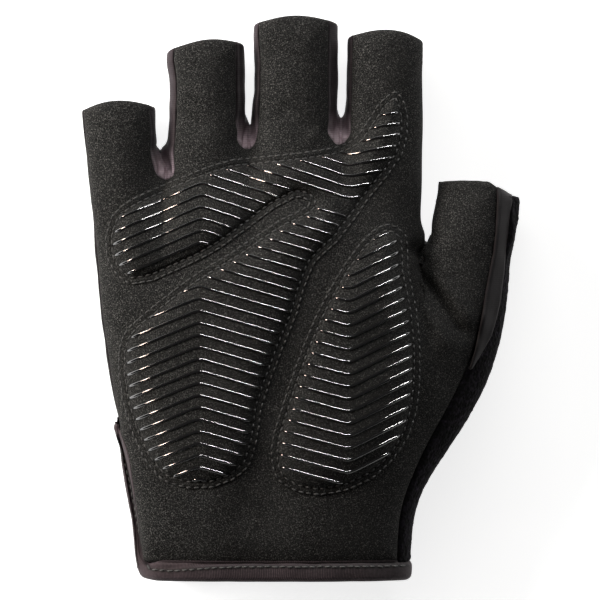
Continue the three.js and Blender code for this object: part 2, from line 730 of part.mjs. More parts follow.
function padGeometry(table, heightUnder) {
  const corners = table.map((row) => new THREE.Vector3(
    (row.x * PALM_WIDTH) / 2,
    CUFF_Y + row.at * PALM_LENGTH,
    0,
  ));
  const curve = new THREE.CatmullRomCurve3(corners, true, 'centripetal');
  const loop = curve.getPoints(table.length * 2).slice(0, -1).map((point) => new THREE.Vector2(point.x, point.y));
  const box = new THREE.Box2().setFromPoints(loop).expandByScalar(PAD_STEP / 2);
  const columns = Math.ceil((box.max.x - box.min.x) / PAD_STEP);
  const rows = Math.ceil((box.max.y - box.min.y) / PAD_STEP);
  const positions = [];
  for (const layer of [1, 0]) {
    for (let j = 0; j <= rows; j += 1) {
      for (let i = 0; i <= columns; i += 1) {
        const x = lerp(box.min.x, box.max.x, i / columns);
        const y = lerp(box.min.y, box.max.y, j / rows);
        const crown = 1 - Math.exp(-distanceTo(loop, x, y) / PAD_SHOULDER);
        const thickness = PAD_EDGE + (PAD_THICKNESS - PAD_EDGE) * crown * 1.1;
        positions.push(x, y, coverHeight(heightUnder, x, y) + PAD_CLEARANCE + layer * thickness);
      }
    }
  }
  const n = (rows + 1) * (columns + 1);
  const at = (i, j) => j * (columns + 1) + i;
  const index = [];
  const quad = (a, b, c, d) => index.push(a, b, c, a, c, d);
  for (let j = 0; j < rows; j += 1) {
    for (let i = 0; i < columns; i += 1) {
      quad(at(i, j), at(i + 1, j), at(i + 1, j + 1), at(i, j + 1));
      quad(at(i, j) + n, at(i, j + 1) + n, at(i + 1, j + 1) + n, at(i + 1, j) + n);
    }
  }
  for (let i = 0; i < columns; i += 1) {
    quad(at(i, 0) + n, at(i + 1, 0) + n, at(i + 1, 0), at(i, 0));
    quad(at(i, rows), at(i + 1, rows), at(i + 1, rows) + n, at(i, rows) + n);
  }
  for (let j = 0; j < rows; j += 1) {
    quad(at(0, j), at(0, j + 1), at(0, j + 1) + n, at(0, j) + n);
    quad(at(columns, j) + n, at(columns, j + 1) + n, at(columns, j + 1), at(columns, j));
  }
  const slab = new THREE.BufferGeometry();
  slab.setAttribute('position', new THREE.Float32BufferAttribute(positions, 3));
  slab.setIndex(index);
  const prism = new THREE.ExtrudeGeometry(new THREE.Shape(loop), { depth: 2 * PALM_DEPTH, bevelEnabled: false });
  return toGeometry(toSolid(slab).intersect(toSolid(prism)));
}

// ---- Materials and assembly

const suede = new THREE.MeshStandardMaterial({ color: 0x262423, roughness: 0.95, metalness: 0 });
const padSuede = new THREE.MeshStandardMaterial({ color: 0x1e1c1b, roughness: 0.8, metalness: 0 });
const stretch = new THREE.MeshStandardMaterial({ color: 0x4a3f43, roughness: 0.7, metalness: 0 });
const knit = new THREE.MeshStandardMaterial({ color: 0x201e20, roughness: 0.85, metalness: 0 });
const terryCloth = new THREE.MeshStandardMaterial({ color: 0x2a252a, roughness: 1, metalness: 0 });
const tape = new THREE.MeshStandardMaterial({ color: 0x3a3336, roughness: 0.75, metalness: 0 });

const CLOTHS = {
  palm_panel: suede,
  back_panel: knit,
  side_strip: stretch,
  thumb_strip: stretch,
  thumb_back: terryCloth,
};

const group = new THREE.Group();

function addMesh(name, geometry, material) {
  geometry.computeVertexNormals();
  const mesh = new THREE.Mesh(geometry, material);
  mesh.name = name;
  group.add(mesh);
  return mesh;
}

for (const [name, quads] of patches) {
  addMesh(name, wallGeometry(quads, WALL), CLOTHS[name] ?? stretch);
}

const tapeQuads = bindingQuads();
addMesh('hem_binding', wallGeometry(tapeQuads, HEM_THICKNESS, ownNormals(tapeQuads)), tape);

const heightUnder = surfaceFinder(group.getObjectByName('palm_panel').geometry);
addMesh('palm_pad', padGeometry(PALM_PAD, heightUnder), padSuede);
addMesh('thenar_pad', padGeometry(THENAR_PAD, heightUnder), padSuede);

export default group;
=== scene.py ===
# A half-finger cycling glove for the right hand, lying on its back with the palm up.
# Metres, +Z up out of the palm, +Y to the fingertips, +X to the thumb side.

import math
import random

import bmesh
import bpy
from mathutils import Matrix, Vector, noise
from mathutils.bvhtree import BVHTree
from mathutils.kdtree import KDTree


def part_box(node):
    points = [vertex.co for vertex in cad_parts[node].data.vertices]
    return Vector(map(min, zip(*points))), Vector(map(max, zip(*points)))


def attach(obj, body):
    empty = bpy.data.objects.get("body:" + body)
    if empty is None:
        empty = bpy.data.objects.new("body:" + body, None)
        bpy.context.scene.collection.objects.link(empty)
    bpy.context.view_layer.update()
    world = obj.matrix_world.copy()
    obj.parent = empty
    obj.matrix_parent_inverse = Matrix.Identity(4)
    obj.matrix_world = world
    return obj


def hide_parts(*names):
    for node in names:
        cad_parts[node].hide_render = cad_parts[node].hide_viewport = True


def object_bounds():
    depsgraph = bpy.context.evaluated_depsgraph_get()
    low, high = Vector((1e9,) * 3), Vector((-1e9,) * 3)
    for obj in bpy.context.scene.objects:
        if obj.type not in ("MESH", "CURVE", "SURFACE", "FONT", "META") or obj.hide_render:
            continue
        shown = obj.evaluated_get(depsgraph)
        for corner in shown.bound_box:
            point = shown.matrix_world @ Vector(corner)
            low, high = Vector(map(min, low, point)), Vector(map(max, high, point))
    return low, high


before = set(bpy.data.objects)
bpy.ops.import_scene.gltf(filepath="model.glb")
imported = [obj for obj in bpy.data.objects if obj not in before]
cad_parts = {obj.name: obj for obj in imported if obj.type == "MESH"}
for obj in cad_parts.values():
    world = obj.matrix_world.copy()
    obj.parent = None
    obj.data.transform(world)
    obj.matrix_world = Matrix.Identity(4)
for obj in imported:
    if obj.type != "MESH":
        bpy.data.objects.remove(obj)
cad_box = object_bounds()
MM = 0.001


# ---- Camera, light and floor
# A light table under soft studio light. The camera looks straight down on the palm from about
# a metre, as a catalogue picture of a laid-out glove is taken.

VIEW_CENTRE = (11.6 * MM, 10.4 * MM)
VIEW_WIDTH = 174 * MM
VIEW_HEIGHT = 1.1
OUTLINE_HEIGHT = 12 * MM  # the widest line of the glove lies this far above the floor
SENSOR_WIDTH = 36  # millimetres

camera_data = bpy.data.cameras.new("camera")
camera_data.sensor_width = SENSOR_WIDTH
camera_data.lens = SENSOR_WIDTH * VIEW_HEIGHT / VIEW_WIDTH
camera = bpy.data.objects.new("camera", camera_data)
camera.location = (*VIEW_CENTRE, VIEW_HEIGHT + OUTLINE_HEIGHT)
bpy.context.scene.collection.objects.link(camera)
bpy.context.scene.camera = camera

LIGHTS = [
    # name, place, aimed at, width, height, power, colour, lights the cloth, shows in glossy surfaces
    ("softbox_left", (-1.05, 0.45, 0.35), (0, 0.01, 0), 0.9, 0.5, 25, (1, 0.99, 0.975), True, False),
    ("strip_top", (0.0, 1.1, 0.6), (0, 0, 0), 1.2, 0.06, 6, (1, 0.99, 0.98), True, False),
    ("strip_glint", (0.45, 1.0, 0.6), (0, 0, 0), 1.4, 0.06, 32, (1, 0.99, 0.98), False, True),
    ("glint_left", (-0.95, 0.3, 0.5), (-0.03, 0, 0), 0.26, 0.26, 13, (1, 0.8, 0.68), False, True),
]
WORLD_LIGHT = 0.05

for name, place, target, width, height, power, tint, diffuse, glossy in LIGHTS:
    light_data = bpy.data.lights.new(name, "AREA")
    light_data.shape = "RECTANGLE"
    light_data.size = width
    light_data.size_y = height
    light_data.energy = power
    light_data.color = tint
    light = bpy.data.objects.new(name, light_data)
    light.location = place
    light.rotation_euler = (Vector(target) - Vector(place)).to_track_quat("-Z", "Y").to_euler()
    light.visible_diffuse = diffuse
    light.visible_glossy = glossy
    bpy.context.scene.collection.objects.link(light)

world = bpy.data.worlds.new("studio")
world.use_nodes = True
background = world.node_tree.nodes["Background"]
background.inputs["Color"].default_value = (1, 1, 1, 1)
background.inputs["Strength"].default_value = WORLD_LIGHT
bpy.context.scene.world = world
bpy.context.scene.view_settings.view_transform = "Standard"


def srgb(hexadecimal):
    """Linear colour of an sRGB hex value."""
    channels = [int(hexadecimal[i:i + 2], 16) / 255 for i in (1, 3, 5)]
    return (*[c / 12.92 if c <= 0.04045 else ((c + 0.055) / 1.055) ** 2.4 for c in channels], 1)


def set_sockets(tree, node, sockets):
    """A socket takes a value, or another node's output as a link."""
    for key, value in sockets.items():
        if isinstance(value, bpy.types.NodeSocket):
            tree.links.new(value, node.inputs[key])
        else:
            node.inputs[key].default_value = value


def add_node(tree, kind, sockets=None, **settings):
    """Adds a node with its settings."""
    made = tree.nodes.new(kind)
    for name, value in settings.items():
        setattr(made, name, value)
    set_sockets(tree, made, sockets or {})
    return made


def grains(tree, place, size, detail=2.0, roughness=0.5):
    """Noise with grains of about this size in millimetres."""
    return add_node(tree, "ShaderNodeTexNoise", {
        "Vector": place, "Scale": 1 / (size * MM), "Detail": detail, "Roughness": roughness}).outputs[0]


def roughen(tree, shader, height, strength, distance):
    """Relief from the height of a pattern, up to a distance in millimetres."""
    bump = add_node(tree, "ShaderNodeBump", {"Height": height, "Strength": strength, "Distance": distance * MM})
    tree.links.new(bump.outputs[0], shader.inputs["Normal"])


def new_material(name):
    """An empty material: its tree, the object coordinates and its shader."""
    material = bpy.data.materials.new(name)
    material.use_nodes = True
    tree = material.node_tree
    tree.nodes.clear()
    place = add_node(tree, "ShaderNodeTexCoord").outputs["Object"]
    shader = add_node(tree, "ShaderNodeBsdfPrincipled")
    add_node(tree, "ShaderNodeOutputMaterial", {"Surface": shader.outputs["BSDF"]})
    return material, tree, place, shader


# Light table: opal acrylic, lit evenly from below, with the faintest tooth on its matt top.
opal, tree, place, shader = new_material("backlit_opal_acrylic")
set_sockets(tree, shader, {
    "Base Color": srgb("#f4f4f3"), "Roughness": 0.95, "Specular IOR Level": 0.1,
    "Emission Color": srgb("#ffffff"), "Emission Strength": 0.8})
roughen(tree, shader, grains(tree, place, 3), 1.0, 0.02)

FLOOR_SIZE = 2  # metres either way from the glove
FLOOR_GAP = 0.1 * MM

slab = bmesh.new()
bmesh.ops.create_grid(slab, x_segments=1, y_segments=1, size=FLOOR_SIZE)
bmesh.ops.translate(slab, verts=slab.verts, vec=(0, 0, cad_box[0][2] - FLOOR_GAP))
floor_mesh = bpy.data.meshes.new("floor")
slab.to_mesh(floor_mesh)
slab.free()
floor = bpy.data.objects.new("floor", floor_mesh)
floor.data.materials.append(opal)
bpy.context.scene.collection.objects.link(floor)


# ---- Palm panel
# One piece of black synthetic suede over the palm, the fronts of the fingers and the front of the thumb.
# It is cut flat, sewn to the other cloths with turned-in seams and pulled into soft folds at the thumb.

WALL = 1.2 * MM
SEAM_ROLL = 1.1 * MM  # a seam edge starts to turn in this far from its end
SEAM_DEPTH = 0.55 * MM
SEAM_ALLOWANCE = 0.7 * MM
TAPE_ALLOWANCE = 2.4 * MM  # wider, on the two panels that the hem tape covers
TAPE_TOP = -27 * MM  # y of the hem tape's upper end, at the top of the wrist slit
SEWN_WITHIN = 2.2 * MM  # an edge this near another cloth is sewn to it
PALM_CROWN = 2.4 * MM
CROWN_RUN = 4.5 * MM  # the crown is mostly reached this far from a seam
FOLD_TAPER = 0.25  # share of a fold's length over which each end dies out
PULL_REACH = 2.5  # a pull ends at this many radii
PULL_FADE = 2  # millimetres below its lowest height over which a pull fades

MERGE = 0.01 * MM  # vertices this near each other are one
MAX_BEND = 50  # degrees between the faces of one skin
CORNER = 135  # degrees: a corner of a cloth that is sharper than this stays sharp
QUAD_BEND = 60  # degrees within a quad joined from two triangles
QUAD_CORNER = 170  # degrees by which its corners may differ

# Folds of the palm panel, in millimetres. A negative height is a crease.
PALM_FOLDS = [
    # x0, y0, x1, y1, width, height
    (42.0, 20.5, 49.5, 15.5, 1.4, -1.0),
    (46.5, 18.5, 60.0, -2.5, 2.1, -2.1),
    (50.5, 19.0, 62.0, 1.0, 2.6, 1.2),
    (44.0, 13.0, 55.0, -5.5, 2.3, 1.1),
    (41.0, 26.5, 47.5, 20.5, 2.0, -1.5),
    (45.5, 26.0, 49.5, 19.5, 1.3, -1.1),
    (50.5, 25.5, 55.0, 16.5, 2.6, 0.7),
    (50.0, -5.0, 56.0, -16.0, 3.0, -0.35),
    (-8.0, -58.0, 0.0, -30.0, 4.5, -0.6),
    (-34.0, 44.0, -26.0, 51.0, 2.0, -0.3),
    (-24.5, 67.0, -14.5, 57.5, 3.4, -0.8),
    (-10.0, 66.0, -7.5, 56.0, 2.4, 0.4),
    (5.0, 67.0, 15.5, 57.5, 3.6, -0.9),
    (31.0, 66.0, 40.0, 58.0, 3.2, -0.6),
]

# Places where the seams pull the cloths sideways, in millimetres.
SEAM_PULLS = [
    # x, y, radius, pull in x, pull in y, height above which it acts
    (-27.3, 47.2, 3.6, 1.3, 0.0, 9),
    (-28.4, 52.8, 2.6, -0.8, 1.5, 3),
    (-6.4, 56.3, 2.0, -0.5, 0.0, 9),
    (20.5, 58.9, 2.4, -0.9, 0.0, 9),
    (25.7, 58.9, 2.2, 0.5, 0.0, 9),
    (23.0, 55.6, 1.8, 0.0, -0.7, 9),
    (23.4, 62.5, 1.6, 0.0, 0.7, 3),
    (-6.3, 62.0, 2.0, -0.4, 0.0, 3),
    (-3.6, 62.0, 2.0, 0.4, 0.0, 3),
    (-42.0, 68.5, 13.0, 0.0, 1.6, -9),
    (-15.4, 86.0, 13.0, 0.0, 1.5, -9),
    (10.7, 92.5, 13.0, 0.0, 1.9, -9),
    (37.7, 88.0, 13.0, 0.0, 2.1, -9),
    (-26.0, 80.0, 5.0, -1.2, 0.0, -9),
    (-1.6, 86.0, 5.0, -0.5, 0.0, -9),
    (70.5, 42.0, 5.5, -2.3, 0.0, 9),
    (60.0, 45.5, 5.5, 0.0, 0.9, 8),
    (66.8, 43.3, 3.5, 0.0, 1.1, 6),
    (74.6, 38.0, 5.5, 1.0, 0.0, -9),
    (53.3, 45.0, 2.2, -0.6, 0.3, 8),
    (47.5, 29.5, 2.8, 1.4, 0.0, 3),
    (69.8, 42.3, 3.2, 0.0, 0.9, 6),
    (63.4, 43.5, 2.4, 0.0, 0.4, 6),
    (68.4, 42.8, 2.2, 0.0, 0.45, 6),
    (69.6, 34.0, 3.0, -1.2, 0.0, 8),
    (66.6, 20.0, 4.0, 0.9, 0.0, 9),
    (64.8, 10.5, 4.0, 0.7, 0.0, 9),
    (-39.8, -30.0, 4.5, -0.9, 0.0, 5),
]


def skin_of(node, towards, bend=MAX_BEND):
    """Outer skin of a wall node as quads: of the faces that run on smoothly, the group that faces towards."""
    skin = bmesh.new()
    skin.from_mesh(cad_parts[node].data)
    bmesh.ops.remove_doubles(skin, verts=skin.verts, dist=MERGE)
    skin.normal_update()
    groups = []
    seen = set()
    for first in skin.faces:
        if first.index in seen:
            continue
        seen.add(first.index)
        group = [first]
        for face in group:
            for edge in face.edges:
                for other in edge.link_faces:
                    if other.index not in seen and edge.calc_face_angle(0) < math.radians(bend):
                        seen.add(other.index)
                        group.append(other)
        groups.append(group)
    best = max(groups, key=lambda g: sum(f.calc_area() * f.normal.dot(Vector(towards)) for f in g))
    keep = set(face.index for face in best)
    drop = [face for face in skin.faces if face.index not in keep]
    bmesh.ops.delete(skin, geom=drop, context="FACES")
    bmesh.ops.join_triangles(skin, faces=skin.faces, angle_face_threshold=math.radians(QUAD_BEND),
                             angle_shape_threshold=math.radians(QUAD_CORNER))
    return skin


def new_object(name, bm_source):
    """Object from a bmesh, which is freed. Its faces are smooth."""
    mesh = bpy.data.meshes.new(name)
    for face in bm_source.faces:
        face.smooth = True
    bm_source.to_mesh(mesh)
    bm_source.free()
    made = bpy.data.objects.new(name, mesh)
    bpy.context.scene.collection.objects.link(made)
    return made


def settle(obj):
    """Turns what the modifiers make into the object's own mesh."""
    bpy.context.view_layer.update()
    graph = bpy.context.evaluated_depsgraph_get()
    mesh = bpy.data.meshes.new_from_object(obj.evaluated_get(graph))
    obj.modifiers.clear()
    obj.data = mesh


def round_off(obj, levels):
    """Subdivision, kept as the object's own mesh."""
    subdivision = obj.modifiers.new("subdivision", "SUBSURF")
    subdivision.levels = levels
    subdivision.render_levels = levels
    subdivision.boundary_smooth = "PRESERVE_CORNERS"
    settle(obj)


def cloth_sheet(name, skin, levels=3, ring=0.9 * MM):
    """Smooth sheet from a skin, with a narrow ring of faces along its edges."""
    bmesh.ops.inset_region(skin, faces=skin.faces, thickness=ring, use_boundary=True, use_even_offset=True)
    crease = skin.verts.layers.float.new("crease_vert")
    for vertex in skin.verts:
        if vertex.is_boundary and sum(loop.calc_angle() for loop in vertex.link_loops) < math.radians(CORNER):
            vertex[crease] = 1
    sheet = new_object(name, skin)
    round_off(sheet, levels)
    return sheet


def surface_of(obj):
    """The object's surface, to measure on."""
    return BVHTree.FromPolygons(
        [vertex.co for vertex in obj.data.vertices], [polygon.vertices for polygon in obj.data.polygons])


def edge_distances(obj):
    """Distance of every vertex from the sheet's open edge."""
    counts = {}
    for polygon in obj.data.polygons:
        for key in polygon.edge_keys:
            counts[key] = counts.get(key, 0) + 1
    rim = sorted({v for key, count in counts.items() if count == 1 for v in key})
    tree = KDTree(len(rim))
    for i, v in enumerate(rim):
        tree.insert(obj.data.vertices[v].co, i)
    tree.balance()
    return [tree.find(vertex.co)[2] for vertex in obj.data.vertices]


def pulled(place, pulls):
    """Sideways shift of a place by a table of pulls."""
    shift = Vector((0, 0, 0))
    for x, y, radius, dx, dy, lowest in pulls:
        away = math.hypot(place.x / MM - x, place.y / MM - y) / radius
        if away < PULL_REACH:
            above = min(1, max(0, (place.z / MM - lowest + PULL_FADE) / PULL_FADE))
            share = math.exp(-away * away) * above
            shift += Vector((dx, dy, 0)) * share * MM
    return shift


def sculpt(obj, lift, roll=SEAM_ROLL, depth=SEAM_DEPTH, pulls=SEAM_PULLS):
    """Moves each vertex along its normal by lift(place, distance from the edge) and sideways by the pulls.

    The open edges turn in.
    """
    distances = edge_distances(obj)
    normals = [vertex.normal.copy() for vertex in obj.data.vertices]
    for vertex, normal, distance in zip(obj.data.vertices, normals, distances):
        turn = max(0, 1 - distance / roll)
        vertex.co += normal * (lift(vertex.co, distance) - depth * turn * turn) + pulled(vertex.co, pulls)
        vertex.co.z = max(vertex.co.z, 0)  # the cloth lies flat on the table
    obj.data.update()


def turn_in(obj, node):
    """Seam allowance: every open edge turns down, and goes on under the cloth that it is sewn to."""
    others = [surface_of(other) for name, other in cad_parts.items() if name != node]
    cloth = bmesh.new()
    cloth.from_mesh(obj.data)
    cloth.normal_update()
    rim = [edge for edge in cloth.edges if edge.is_boundary]
    shifts = {}
    for edge in rim:
        face = edge.link_faces[0]
        out = (edge.verts[0].co + edge.verts[1].co) / 2 - face.calc_center_median()
        along = (edge.verts[1].co - edge.verts[0].co).normalized()
        out = (out - along * out.dot(along)).normalized()
        for vertex in edge.verts:
            shifts.setdefault(vertex, []).append((out, face.normal.copy()))
    made = bmesh.ops.extrude_edge_only(cloth, edges=rim)
    new_verts = [item for item in made["geom"] if isinstance(item, bmesh.types.BMVert)]
    places = KDTree(len(shifts))
    owners = list(shifts)
    for i, vertex in enumerate(owners):
        places.insert(vertex.co, i)
    places.balance()
    for vertex in new_verts:
        near = shifts[owners[places.find(vertex.co)[1]]]
        out = sum((pair[0] for pair in near), Vector()).normalized()
        normal = sum((pair[1] for pair in near), Vector()).normalized()
        sewn = any(surface.find_nearest(vertex.co, SEWN_WITHIN)[0] for surface in others)
        taped = vertex.co.y < TAPE_TOP and node in ("palm_panel", "back_panel")
        reach = TAPE_ALLOWANCE if taped else SEAM_ALLOWANCE
        vertex.co += out * (reach if sewn else 0) - normal * WALL
        vertex.co.z = max(vertex.co.z, 0)
    bmesh.ops.recalc_face_normals(cloth, faces=cloth.faces)
    cloth.to_mesh(obj.data)
    cloth.free()


def thicken(obj, thickness=WALL):
    """Gives a sheet its wall, inwards, and keeps it on the table."""
    wall = obj.modifiers.new("wall", "SOLIDIFY")
    wall.thickness = thickness
    wall.offset = -1
    settle(obj)
    for vertex in obj.data.vertices:
        vertex.co.z = max(vertex.co.z, 0)


def fold_height(place, folds):
    """Height in metres of a table of folds at a place."""
    x, y = place.x / MM, place.y / MM
    height = 0
    for x0, y0, x1, y1, width, deep in folds:
        dx, dy = x1 - x0, y1 - y0
        length = math.hypot(dx, dy)
        along = ((x - x0) * dx + (y - y0) * dy) / length
        across = ((y - y0) * dx - (x - x0) * dy) / length
        end = FOLD_TAPER * length
        taper = min(1, max(0, along / end), max(0, (length - along) / end))
        taper = taper * taper * (3 - 2 * taper)
        height += deep * taper * math.exp(-((across / width) ** 2))
    return height * MM


def unevenness(place, size, height, seed=0):
    """Gentle waves of a cloth that isn't quite flat."""
    spot = Vector((place.x / size + seed, place.y / size, place.z / size))
    return noise.noise(spot) * height


def shown(obj, material, slot, *nodes):
    """Material, body and the solids that the piece stands for. The slot argument is not used."""
    obj.data.materials.append(material)
    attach(obj, "root")
    if nodes:
        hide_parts(*nodes)
    return obj


def spread(tree, value, low, high, new_low=0.0, new_high=1.0):
    """A value brought from one range to another, and kept in it."""
    return add_node(tree, "ShaderNodeMapRange", {0: value, 1: low, 2: high, 3: new_low, 4: new_high}).outputs[0]


def blend(tree, share, low, high):
    """Colour between two others, each a hex value or a node's output."""
    colours = [srgb(colour) if isinstance(colour, str) else colour for colour in (low, high)]
    return add_node(tree, "ShaderNodeMix", {0: share, 6: colours[0], 7: colours[1]}, data_type="RGBA").outputs[2]


def suede_material(name, dark, mid, light, gloss=0.0):
    """Brushed microfibre suede: matt, with a short nap that lies in patches and a few pale fibres."""
    material, tree, place, shader = new_material(name)
    # Tufts of nap half a millimetre across, in patches of 16 mm, and finer pale fibres.
    tufts = grains(tree, place, 0.5, 2.0, 0.6)
    patches = grains(tree, place, 16, 3.0)
    fibres = grains(tree, place, 0.34, 3.0, 0.7)
    share = add_node(tree, "ShaderNodeMath", {
        0: spread(tree, tufts, 0.38, 0.66), 1: spread(tree, patches, 0.35, 0.65, 0.0, 0.4)},
        operation="ADD", use_clamp=True).outputs[0]
    nap = blend(tree, share, dark, mid)
    set_sockets(tree, shader, {
        "Base Color": blend(tree, spread(tree, fibres, 0.54, 0.74), nap, light),
        "Roughness": 0.9 - gloss, "Specular IOR Level": 0.12,
        "Sheen Weight": 0.04, "Sheen Roughness": 0.45, "Sheen Tint": srgb("#8a8680")})
    roughen(tree, shader, tufts, 0.7, 0.2)
    return material


palm_suede = suede_material("brushed_microfibre_suede", "#080808", "#222221", "#83807b")

palm = cloth_sheet("palm_panel_suede", skin_of("palm_panel", (0, 0, 1)))


def palm_lift(p, distance):
    """The seams hold the suede down, so it crowns between them."""
    return (PALM_CROWN * (1 - math.exp(-distance / CROWN_RUN)) + fold_height(p, PALM_FOLDS)
            + unevenness(p, 14 * MM, 0.35 * MM))


sculpt(palm, palm_lift)
palm_surface = surface_of(palm)
turn_in(palm, "palm_panel")
thicken(palm)
shown(palm, palm_suede, "suede", "palm_panel")


# ---- Pads
# Foam between two layers of the same suede, sewn down round its edge with two rows of stitches.
# The foam makes a crown inside the inner row, and the rows pull grooves into the suede.

PAD_MESH = 0.8 * MM
PAD_TRIM = 0.3 * PAD_MESH  # grid points this far outside the outline are cut away
PAD_RIM = 2.2 * PAD_MESH  # those nearer than this are evened out to meet it
PAD_ROUNDS = 3
PAD_GROWTH = 0.5 * MM  # the sewn edge lies this far outside the solid pad
ROW_OUTER = 0.55 * MM  # stitch rows, measured in from the pad's edge
ROW_INNER = 2.2 * MM
ROW_GROOVE = 0.42 * MM
PAD_BAND = 0.5 * MM  # height of the sewn band
PAD_EDGE = 0.5 * MM  # the band rounds up over this width
PAD_CROWN = 2.6 * MM
PAD_SHOULDER = 2.9 * MM  # the crown is mostly reached this far inside the inner row
PAD_SEAT = 0.05 * MM  # gap between the palm and the pad's underside
PALM_HEIGHT = 16 * MM  # for a place beyond the edge of the palm
GROOVE_WIDTH = 0.45 * MM
OUTLINE_STEP = 0.5 * MM
OUTLINE_ROUNDS = 5  # rounds of smoothing
UPWARDS = 0.02  # a face whose normal has more z than this is on top
ABOVE_ALL = 0.1  # metres, over everything


class Outline:
    """Closed outline of a pad seen from above, with the signed distance of a point to it."""

    def __init__(self, node):
        solid = bmesh.new()
        solid.from_mesh(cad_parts[node].data)
        bmesh.ops.remove_doubles(solid, verts=solid.verts, dist=MERGE)
        solid.normal_update()
        drop = [face for face in solid.faces if face.normal.z <= UPWARDS]
        bmesh.ops.delete(solid, geom=drop, context="FACES")
        rim = [edge for edge in solid.edges if edge.is_boundary]
        edge = rim[0]
        loop = [edge.verts[0]]
        here = edge.other_vert(loop[0])
        while here is not loop[0]:
            loop.append(here)
            edge = [e for e in here.link_edges if e.is_boundary and e is not edge][0]
            here = edge.other_vert(here)
        corners = [Vector((v.co.x, v.co.y, 0)) for v in loop]
        solid.free()
        area = sum(a.x * b.y - b.x * a.y for a, b in zip(corners, corners[1:] + corners[:1]))
        if area < 0:
            corners.reverse()
        points = resample(corners, OUTLINE_STEP)
        for _ in range(OUTLINE_ROUNDS):
            points = [(a + b * 2 + c) / 4 for a, b, c in zip(
                points[-1:] + points[:-1], points, points[1:] + points[:1])]
        points = resample(points, OUTLINE_STEP)
        grown = [p + n * PAD_GROWTH for p, n in zip(points, outward(points))]
        self.points = resample(grown, OUTLINE_STEP)
        self.outward = outward(self.points)
        self.tree = KDTree(len(self.points))
        for i, point in enumerate(self.points):
            self.tree.insert(point, i)
        self.tree.balance()

    def inside(self, x, y):
        """Distance in from the outline, negative outside it."""
        spot = Vector((x, y, 0))
        point, i, distance = self.tree.find(spot)
        return -distance if (spot - point).dot(self.outward[i]) > 0 else distance

    def nearest(self, x, y):
        """Point of the outline nearest to a place."""
        return self.tree.find(Vector((x, y, 0)))[0]

    def row(self, inset):
        """The outline moved in."""
        return [p - n * inset for p, n in zip(self.points, self.outward)]


def outward(loop):
    """Outward direction at each point of a closed loop that runs anticlockwise."""
    count = len(loop)
    runs = [loop[(i + 1) % count] - loop[i - 1] for i in range(count)]
    return [Vector((run.y, -run.x, 0)).normalized() for run in runs]


def resample(loop, step):
    """Points at even steps along a closed loop."""
    lengths = [(b - a).length for a, b in zip(loop, loop[1:] + loop[:1])]
    total = sum(lengths)
    count = round(total / step)
    made = []
    i, walked = 0, 0
    for k in range(count):
        goal = total * k / count
        while walked + lengths[i] < goal:
            walked += lengths[i]
            i += 1
        made.append(loop[i].lerp(loop[(i + 1) % len(loop)], (goal - walked) / lengths[i]))
    return made


def height_on(surface, x, y):
    """Highest point of a surface at a place, or None beside it."""
    hit = surface.ray_cast(Vector((x, y, ABOVE_ALL)), Vector((0, 0, -1)))[0]
    return hit.z if hit else None


def groove(distance, row):
    """Share of the groove's depth at a distance from the pad's edge."""
    return math.exp(-((distance - row) / GROOVE_WIDTH) ** 2)


def pad_height(distance):
    """Height of the pad over the palm at a distance in from its edge."""
    edge = min(1, distance / PAD_EDGE)
    height = PAD_BAND * math.sqrt(max(0, edge * (2 - edge)))
    past = max(0, distance - ROW_INNER)
    height += PAD_CROWN * (1 - math.exp(-past / PAD_SHOULDER))
    return height - ROW_GROOVE * (groove(distance, ROW_OUTER) + groove(distance, ROW_INNER))


def pad_object(name, outline):
    """Fine grid trimmed to the outline, laid on the palm and given its crown and its underside."""
    low = [min(p[i] for p in outline.points) - PAD_MESH for i in (0, 1)]
    high = [max(p[i] for p in outline.points) + PAD_MESH for i in (0, 1)]
    size = [high[i] - low[i] for i in (0, 1)]
    pad = bmesh.new()
    bmesh.ops.create_grid(
        pad, x_segments=round(size[0] / PAD_MESH), y_segments=round(size[1] / PAD_MESH), size=0.5)
    bmesh.ops.scale(pad, verts=pad.verts, vec=(size[0], size[1], 1))
    bmesh.ops.translate(pad, verts=pad.verts, vec=(low[0] + size[0] / 2, low[1] + size[1] / 2, 0))
    outside = [v for v in pad.verts if outline.inside(v.co.x, v.co.y) < -PAD_TRIM]
    bmesh.ops.delete(pad, geom=outside, context="VERTS")
    loose = [v for v in pad.verts if len(v.link_faces) < 2]
    bmesh.ops.delete(pad, geom=loose, context="VERTS")

    def meet_outline():
        for vertex in pad.verts:
            if vertex.is_boundary:
                vertex.co = outline.nearest(vertex.co.x, vertex.co.y)

    for _ in range(PAD_ROUNDS):
        meet_outline()
        near = [v for v in pad.verts if not v.is_boundary and outline.inside(v.co.x, v.co.y) < PAD_RIM]
        bmesh.ops.smooth_vert(pad, verts=near, factor=0.5, use_axis_x=True, use_axis_y=True, use_axis_z=False)
    bmesh.ops.subdivide_edges(pad, edges=pad.edges, cuts=1, use_grid_fill=True)
    meet_outline()
    top = bmesh.ops.extrude_face_region(pad, geom=pad.faces[:])
    raised = [v for v in top["geom"] if isinstance(v, bmesh.types.BMVert)]
    for vertex in pad.verts:
        vertex.co.z = (height_on(palm_surface, vertex.co.x, vertex.co.y) or PALM_HEIGHT) + PAD_SEAT
    for vertex in raised:
        distance = max(0, outline.inside(vertex.co.x, vertex.co.y))
        wave = unevenness(vertex.co, 9 * MM, 0.25 * MM, 7) * min(1, distance / (4 * MM))
        vertex.co.z += pad_height(distance) + wave
    bmesh.ops.recalc_face_normals(pad, faces=pad.faces)
    return new_object(name, pad)


pad_suede = suede_material("foam_backed_suede", "#080808", "#1f1f1e", "#777570", gloss=0.08)

PADS = {}
for node in ("palm_pad", "thenar_pad"):
    outline = Outline(node)
    pad = pad_object(node + "_suede", outline)
    PADS[node] = (outline, surface_of(pad))
    shown(pad, pad_suede, "pad_suede", node)


